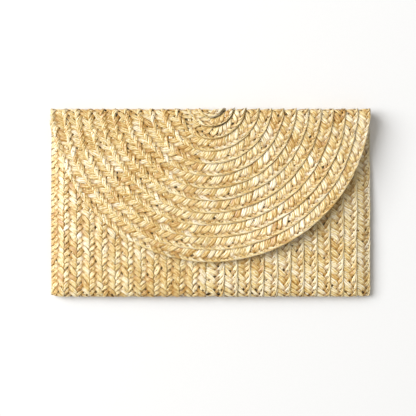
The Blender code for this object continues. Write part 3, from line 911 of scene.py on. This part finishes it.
def build_lining(cloth, thread):
    """The bag, and the facings of the fold's lower half and of its upper half with the flap."""
    lengths, table = section_table(0.0)
    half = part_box("lining_pouch")[1].x
    across = np.linspace(-half, half, CLOTH_COLUMNS)
    back_length = np.interp(1, table, lengths)
    first = 1 - (FACING_SEAM + LAP - BEND_Y) / (SEAM_Y - BEND_Y)
    along = np.linspace(first * back_length, lengths[-1], BAG_ROWS)

    def on_bag(a, b, side):
        v = np.where(b < 0, b / back_length, np.interp(b, lengths, table))
        front = smoothstep(v, 1, 2)
        loose = wrinkles(a, b, 1) * (1 - smoothstep(np.abs(a), half - HELD, half))
        loose = loose * (1 - smoothstep(b, lengths[-1] - HELD, lengths[-1] - 5 * MM))
        y = section_point(v, lift_at(a), crown_at(a))[0]
        step = (1 - front) * smoothstep(y, *SEAM_ZONE[:2]) * (1 - smoothstep(y, *SEAM_ZONE[2:]))
        back_in = UNDER_BACK + SEAM_STEP * step + BACK_WRINKLES * loose - side
        front_in = UNDER_FRONT + FRONT_WRINKLES * loose - side
        y, z = section_point(v, lift_at(a), crown_at(a), back_in, front_in)
        return np.stack([a, y, z], axis=-1)

    bag = thin_sheet("lining_bag", cloth, across, along, LINING, on_bag)
    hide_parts("lining_pouch")
    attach(bag, "pouch")

    last = -(FLAT_START + FOLD_Y - FOLD_RADIUS - FACING_SEAM)
    along = np.linspace(last, 0, FOLD_ROWS)

    def on_lower(a, b, side):
        step = FOLD_STEP * smoothstep(-b, FLAT_START - 1 * MM, -last - 1 * MM)
        return on_flap(a, b, side - UNDER_RINGS - step)

    lower = thin_sheet("facing_of_fold", cloth, across, along, LINING, on_lower)
    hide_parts("lining_fold")
    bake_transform(lower)

    radius = FLAP_RADIUS - HEM
    angle = np.linspace(0, np.pi / 2 - 0.06, FLAP_ROWS)
    along = radius * np.sin(angle)
    rows = np.minimum(radius * np.cos(angle), half)[:, None] * np.linspace(-1, 1, CLOTH_COLUMNS)

    def on_upper(a, b, side):
        loose = wrinkles(a, b, 2) * smoothstep(b, 20 * MM, 40 * MM)
        loose = loose * (1 - near_snap(a, FLAP_CENTRE - b))
        loose = loose * (1 - smoothstep(np.hypot(a, b), radius - 14 * MM, radius - 2 * MM))
        step = FLAP_STEP * smoothstep(b, FLAT_START - 3 * MM, FLAT_START + 4 * MM)
        return on_flap(a, b, side - UNDER_RINGS - step - FLAP_WRINKLES * loose)

    upper = thin_sheet("facing_of_flap", cloth, rows, along, LINING, on_upper)
    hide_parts("lining_flap", "lining_fold")
    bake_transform(upper)

    rows = Tubes()
    hem = radius - HEM_INSET
    hem_end = 0.05  # radians short of the fold's line

    def on_hem(along, across, height):
        angle = hem_end + along / hem
        out = hem + across
        return on_flap(out * np.cos(angle), out * np.sin(angle), -HEM_DEPTH - height)

    starts = np.arange(0, (np.pi - 2 * hem_end) * hem, HEM_STITCH_GAP)
    add_stitches(rows, on_hem, starts, 0.0, HEM_STITCH_HEIGHT)
    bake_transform(rows.piece("stitches_of_facing", thread))


BINDING = 0.5 * MM
BINDING_OUTER, BINDING_INNER = 1.62 * MM, -3.2 * MM  # heights of its legs over the plaits' middles
BINDING_EDGE, BINDING_REACH = 0.1 * MM, 1.15 * MM
BINDING_SEAM, BINDING_STITCH_GAP, BINDING_STITCH_HEIGHT = 1.6 * MM, 3.4 * MM, 0.35 * MM
RIPPLE, RIPPLE_LENGTH = 0.05 * MM, 31 * MM
TAPE = 0.7 * MM


def build_tapes(twill, thread):
    """The binding folded over the mouth's edge, and the tapes in the side seams."""
    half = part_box("mouth_binding")[1].x
    across = np.linspace(-half, half, CLOTH_COLUMNS)
    leg = BINDING_LEG
    bulge = (BINDING_OUTER - BINDING_INNER) / 2
    turn_length = math.pi * bulge * 0.75
    turning = leg + turn_length * np.linspace(0.1, 0.9, 8)
    along = np.concatenate([np.linspace(0, leg, 5), turning, leg + turn_length + np.linspace(0, leg, 5)])
    edge = MOUTH_Y - BINDING_EDGE

    def on_binding(a, b, side):
        turn = np.pi * np.clip((b - leg) / turn_length, 0, 1)
        y = edge - np.maximum(leg - b, 0) - np.maximum(b - leg - turn_length, 0)
        y = y + (BINDING_REACH + side) * np.sin(turn)
        height = (BINDING_OUTER + BINDING_INNER) / 2 + (bulge + side) * np.cos(turn)
        middle = BACK_Z + SEAM_HEIGHT + crown_at(a) + RIPPLE * np.sin(2 * np.pi * a / RIPPLE_LENGTH)
        return np.stack([a, y, middle + height], axis=-1)

    binding = thin_sheet("binding_of_mouth", twill, across, along, BINDING, on_binding)
    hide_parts("mouth_binding")
    rows = Tubes()
    starts = np.arange(-half + 1 * MM, half - 3 * MM, BINDING_STITCH_GAP)

    def on_row(a, c, h):
        return on_binding(a, BINDING_SEAM + c, h)

    add_stitches(rows, on_row, starts, 0.0, BINDING_STITCH_HEIGHT)
    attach(rows.piece("stitches_of_binding", thread), "pouch")
    tapes = [binding]
    for side, name in ((-1, "left"), (1, "right")):
        low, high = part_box(f"side_tape_{name}")
        inner_x, outer_x = sorted((abs(low.x), abs(high.x)))
        ys = np.linspace(low.y, high.y, 40)

        def on_tape(a, b, depth, side=side):
            x = side * (inner_x + a)
            z = back_height(lift_at(x), b) + BRAID / 2 + TAPE
            return np.stack([x, b + 0 * a, z + depth], axis=-1)

        widths = np.linspace(0, outer_x - inner_x, 5)
        tape = thin_sheet(f"tape_{name}", twill, widths, ys, TAPE, on_tape)
        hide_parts(f"side_tape_{name}")
        tapes.append(tape)
    for tape in tapes:
        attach(tape, "pouch")


SIDE_SEAM = (-66 * MM, 72 * MM)  # its ends, up the purse
SIDE_LEAN, SIDE_INSET = 1.6 * MM, 1.9 * MM
SIDE_REACH, SIDE_RISE = 2.5 * MM, 2.1 * MM


def build_side_stitches(thread):
    """Slanting stitches that close the side seams over their edges."""
    rows = Tubes()
    for side in (-1, 1):
        for start in np.arange(*SIDE_SEAM, PITCH):
            turn = np.linspace(-2.0, 2.0, 15)[:, None]
            y = start + SIDE_LEAN * turn / 2 + 0 * THREAD_AROUND
            seat = back_height(lift_at(HALF), y) + SEAM_HEIGHT / 2
            reach = THREAD * np.cos(THREAD_AROUND)
            x = side * (HALF - SIDE_INSET + (SIDE_REACH + reach) * np.cos(turn))
            z = seat + (SIDE_RISE + reach) * np.sin(turn)
            rows.add(np.stack([x, y + THREAD * np.sin(THREAD_AROUND), z], axis=-1))
    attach(rows.piece("stitches_of_sides", thread), "pouch")


def lathe(name, node, outline, metal):
    """A closed outline of (radius, height) points turned about the snap's axis, its corners eased."""
    corners = np.array(outline)
    before, after = np.roll(corners, 1, axis=0), np.roll(corners, -1, axis=0)

    def toward(other):
        away = other - corners
        size = np.linalg.norm(away, axis=1, keepdims=True)
        return corners + away / size * np.minimum(EASE, 0.4 * size)

    start, end = toward(before), toward(after)
    eased = np.stack([start, 0.5 * corners + 0.25 * (start + end), end], axis=1).reshape(-1, 2)
    turns = 2 * np.pi * np.arange(LATHE_STEPS) / LATHE_STEPS
    radius, height = eased[None, :, 0], eased[None, :, 1] + 0 * turns[:, None]
    x, y = radius * np.cos(turns)[:, None], SNAP_Y + radius * np.sin(turns)[:, None]
    points = np.stack([x, y, height], axis=-1)
    quads = grid_quads(np.arange(height.size).reshape(height.shape), ((0, 1), (0, 1)))
    piece = mesh_object(name, metal, points.reshape(-1, 3), quads)
    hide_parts(node)
    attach(piece, "flap" if "stud" in node else "pouch")


AXIS, STEM = 0.03 * MM, 1.3 * MM  # radii of the closed hole in the middle, and of the snap's stems
CUP_FLOOR, CUP_SEAT = 1.7 * MM, 2.1 * MM  # below the cup's top
CUP_WALL, CUP_LIP, CUP_MOUTH = 0.6 * MM, 0.3 * MM, 3.0 * MM
MAGNET_HOLE, WASHER_HOLE = 3.3 * MM, 1.7 * MM
STUD, STUD_LENGTH, STUD_PLATE = 2.4 * MM, 1.6 * MM, 0.5 * MM


def tube_outline(low, high, hole):
    """The outline of a ring that fills the box from low to high, round a hole."""
    return ((high.x, high.z), (high.x, low.z), (hole, low.z), (hole, high.z))


def build_snap(brass, ferrite):
    foot_corner, top_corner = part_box("snap_cup")
    radius, top, foot = top_corner.x, top_corner.z, foot_corner.z
    seat, floor, lip = top - CUP_SEAT, top - CUP_FLOOR, top - CUP_LIP
    lathe("cup", "snap_cup", (
        (AXIS, floor), (radius - CUP_WALL, floor), (radius - CUP_WALL, lip), (CUP_MOUTH, lip),
        (CUP_MOUTH, top), (radius, top), (radius, seat), (STEM, seat), (STEM, foot), (AXIS, foot),
    ), brass)
    magnet = tube_outline(*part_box("snap_magnet"), MAGNET_HOLE)
    lathe("magnet", "snap_magnet", magnet, ferrite)
    for name in ("snap_cup_washer", "snap_stud_washer"):
        washer = tube_outline(*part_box(name), WASHER_HOLE)
        lathe(name.replace("snap_", ""), name, washer, brass)
    tip_corner, end_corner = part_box("snap_stud_plate")
    tip, end, edge = tip_corner.z, end_corner.z, end_corner.x
    bottom = tip + STUD_LENGTH
    plate = bottom + STUD_PLATE
    lathe("stud_plate", "snap_stud_plate", (
        (AXIS, end), (STEM, end), (STEM, plate), (edge, plate), (edge, bottom), (STUD, bottom),
        (STUD, tip), (AXIS, tip),
    ), brass)


CLOTH_COLOURS = ((222, 208, 178), (176, 158, 122))  # light and dark, as in those below
TWILL_COLOURS = ((214, 196, 156), (158, 134, 92))
BRASS_COLOURS = ((226, 188, 116), (186, 140, 74))
FERRITE_COLOURS = ((74, 74, 78), (40, 40, 42))
LINING_THREAD_COLOURS = ((236, 226, 204), (196, 182, 150))
SEAM_THREAD_COLOURS = ((150, 104, 44), (96, 62, 22))


def build_fittings():
    cloth = woven_material("cotton_cloth", *CLOTH_COLOURS, 0.55 * MM, False)
    twill = woven_material("twill_cloth", *TWILL_COLOURS, 0.9 * MM, True)
    brass = metal_material("brass_plate", *BRASS_COLOURS, 1.0, 0.26)
    ferrite = metal_material("ferrite", *FERRITE_COLOURS, 0.6, 0.5)
    light_thread = plain_thread("lining_thread", *LINING_THREAD_COLOURS)
    build_lining(cloth, light_thread)
    build_tapes(twill, light_thread)
    build_side_stitches(plain_thread("seam_thread", *SEAM_THREAD_COLOURS))
    build_snap(brass, ferrite)


# ---- studio


def aim(thing, target):
    thing.rotation_euler = (Vector(target) - thing.location).to_track_quat("-Z", "Y").to_euler()


SKY_COLOUR, SKY_STRENGTH = (1.0, 0.962, 0.88, 1.0), 0.46
SOFTBOX_PLACE, SOFTBOX_SIZE, SOFTBOX_POWER = (-2.95, 1.1, 2.95), 3.4, 270
SOFTBOX_COLOUR = (0.985, 0.996, 1.0)
FLOOR_SIZE = 8
FLOOR_DARK, FLOOR_LIGHT = (0.77, 0.772, 0.785, 1), (0.80, 0.802, 0.815, 1)
CAMERA_PLACE, CAMERA_LENS = (-0.0023, -0.0044, 0.950), 85


def build_studio():
    scene = bpy.context.scene
    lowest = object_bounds()[0].z
    world = bpy.data.worlds.new("studio")
    world.use_nodes = True
    sky = world.node_tree.nodes["Background"]
    sky.inputs["Color"].default_value = SKY_COLOUR
    sky.inputs["Strength"].default_value = SKY_STRENGTH
    scene.world = world

    softbox = bpy.data.lights.new("softbox", "AREA")
    softbox.shape = "SQUARE"
    softbox.size = SOFTBOX_SIZE
    softbox.energy = SOFTBOX_POWER
    softbox.color = SOFTBOX_COLOUR
    key = add_object("softbox", softbox)
    key.location = SOFTBOX_PLACE
    aim(key, (0, 0, 0))

    bpy.ops.mesh.primitive_plane_add(size=FLOOR_SIZE, location=(0, 0, lowest))
    floor = bpy.context.object
    floor.name = "floor"
    g = Graph("floor_paper")
    paper = g.noise(g.position(), 900, 3.0)
    colour = g.mix(paper, FLOOR_DARK, FLOOR_LIGHT)
    floor.data.materials.append(g.finish(colour, 0.9, g.bump(paper, 0.02 * MM)))

    lens = bpy.data.cameras.new("camera")
    lens.lens = CAMERA_LENS
    lens.sensor_width = 36
    camera = add_object("camera", lens)
    camera.location = CAMERA_PLACE
    scene.camera = camera
    scene.view_settings.view_transform = "Standard"
    scene.view_settings.look = "None"


build_straw()
build_fittings()
build_studio()
